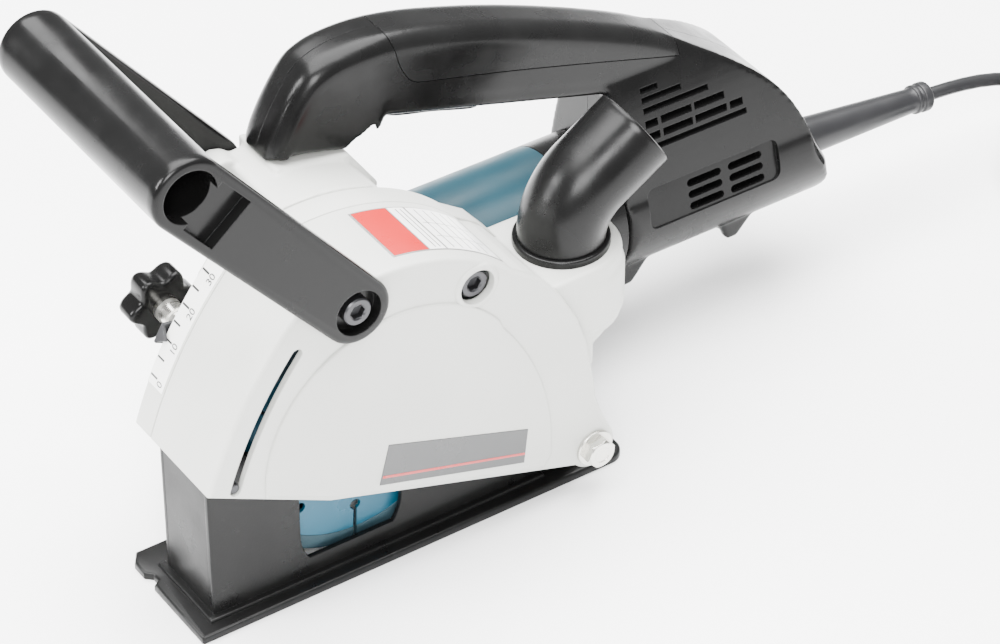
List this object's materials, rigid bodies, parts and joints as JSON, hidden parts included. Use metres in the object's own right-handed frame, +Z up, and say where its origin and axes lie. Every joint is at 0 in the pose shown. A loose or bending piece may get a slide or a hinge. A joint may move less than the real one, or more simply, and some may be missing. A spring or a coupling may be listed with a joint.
{
  "type": "wall chaser",
  "caption": "Hand-held wall chaser: diamond wheels in a dust case with a sprung depth base, front grip, loop handle with trigger, dust nozzle and cord.",
  "frame": {"origin": "centre of the machine's bounding box at the floor, without the cord", "axes": "+X to the rear (motor and cord end), +Y away from the wheel cover towards the motor, +Z up"},
  "size_m": [0.6042, 0.1414, 0.264],
  "materials": {
    "castings": "powder-coated light grey aluminium castings",
    "teal_plastic": "fine-grained glass-filled nylon",
    "shell_plastic": "fine spark-eroded grain",
    "grip_plastic": "fine grain, slight sheen",
    "soft_insert": "soft over-moulded grip",
    "nozzle_plastic": "moulded, slightly glossy",
    "red_button": "moulded",
    "zinc_plated": "zinc plated",
    "stop_steel": "blackened",
    "labels": "printed film",
    "base_paint": "black powder coat on pressed steel",
    "spring_steel": "oiled wire",
    "bright_steel": "ground",
    "black_steel": "blackened",
    "wheel_steel": "painted core, sintered diamond rim",
    "cast_plate": "machined die casting",
    "laminations": "varnished electrical steel with windings",
    "copper_bars": "turned copper segments",
    "inner_plastic": "moulded",
    "brass": "drawn",
    "carbon": "pressed graphite",
    "cord_rubber": "smooth rubber sheath",
    "pin_nickel": "nickel plated"
  },
  "bodies": {
    "machine": {"blade_case": "castings", "case_cover": "castings", "gear_housing": "castings", "motor_housing": "teal_plastic", "handle_shell_near": "shell_plastic", "handle_shell_far": "shell_plastic", "handle_insert": "soft_insert", "front_grip": "grip_plastic", "grip_bolts": "zinc_plated", "cover_bolt": "zinc_plated", "nozzle_seat": "nozzle_plastic", "depth_scale": "labels", "side_label": "labels", "name_plate": "labels", "pivot_bolt": "zinc_plated", "pivot_washer": "zinc_plated", "pivot_nut": "zinc_plated", "pivot_sleeve": "bright_steel", "return_spring": "spring_steel", "spindle_bearings": "bright_steel", "bearing_plate": "cast_plate", "armature_bearings": "bright_steel", "stator": "laminations", "air_baffle": "inner_plastic", "brush_holders": "brass", "carbon_brushes": "carbon", "switch_body": "inner_plastic", "speed_module": "inner_plastic", "cord_clamp": "shell_plastic", "handle_screws": "zinc_plated", "gearbox_screws": "zinc_plated", "cord_guard": "cord_rubber", "cord": "cord_rubber", "cord_coil": "cord_rubber", "plug_body": "cord_rubber", "plug_pins": "pin_nickel"},
    "base": {"base_plate": "base_paint", "guide_pin": "zinc_plated", "base_cross_pin": "zinc_plated"},
    "stop": {"stop_bolt": "stop_steel", "depth_pointer": "stop_steel"},
    "knob": {"knob_sleeve": "zinc_plated", "star_knob": "grip_plastic"},
    "spindle": {"spindle_shaft": "bright_steel", "wheel_near": "wheel_steel", "wheel_far": "wheel_steel", "wheel_spacers": "bright_steel", "inner_flange": "bright_steel", "lock_nut": "black_steel", "bevel_gear": "bright_steel"},
    "armature": {"armature_shaft": "bright_steel", "armature_core": "laminations", "commutator": "copper_bars", "cooling_fan": "inner_plastic", "bevel_pinion": "bright_steel"},
    "nozzle": {"dust_nozzle": "nozzle_plastic"},
    "trigger": {"trigger": "grip_plastic"},
    "lock_off": {"lock_off_button": "red_button"},
    "shaft_lock": {"shaft_lock_button": "grip_plastic"}
  },
  "joints": [
    {"name": "base_pivot", "type": "hinge", "parent": "machine", "child": "base", "pos_m": [0.0165, -0.02675, 0.024], "axis": [0, 1, 0], "range_deg": [0, 19.5], "stiffness_Nm_per_rad": 4, "springref_deg": -51.57},
    {"name": "depth_stop", "type": "hinge", "parent": "machine", "child": "stop", "pos_m": [0.0165, 0.00625, 0.024], "axis": [0, 1, 0], "range_deg": [-4.8, 9.7]},
    {"name": "knob_turn", "type": "hinge", "parent": "stop", "child": "knob", "pos_m": [-0.1479, 0.02125, 0.12123], "axis": [0, 1, 0], "range_deg": [0, 360]},
    {"name": "spindle_spin", "type": "hinge", "parent": "machine", "child": "spindle", "pos_m": [-0.09206, -0.02675, 0.0715], "axis": [0, 1, 0], "continuous": true},
    {"name": "armature_spin", "type": "hinge", "parent": "machine", "child": "armature", "pos_m": [0.0165, 0.03475, 0.0715], "axis": [1, 0, 0], "continuous": true},
    {"name": "nozzle_swivel", "type": "hinge", "parent": "machine", "child": "nozzle", "pos_m": [0.0195, -0.03275, 0.122], "axis": [0, 0, 1], "range_deg": [-90, 30]},
    {"name": "trigger_pull", "type": "hinge", "parent": "machine", "child": "trigger", "pos_m": [-0.02554, 0.03475, 0.17421], "axis": [0, -1, 0], "range_deg": [0, 5], "stiffness_Nm_per_rad": 2.5, "springref_deg": -8.59},
    {"name": "lock_off_press", "type": "slide", "parent": "machine", "child": "lock_off", "axis": [0, -1, 0], "range_m": [0, 0.003], "stiffness_N_per_m": 500, "springref_m": -0.004},
    {"name": "shaft_lock_press", "type": "slide", "parent": "machine", "child": "shaft_lock", "axis": [0, -1, 0], "range_m": [0, 0.004], "stiffness_N_per_m": 800, "springref_m": -0.004}
  ],
  "couplings": [
    {"joint": "armature_spin", "follows": "spindle_spin", "ratio": 3.3}
  ]
}
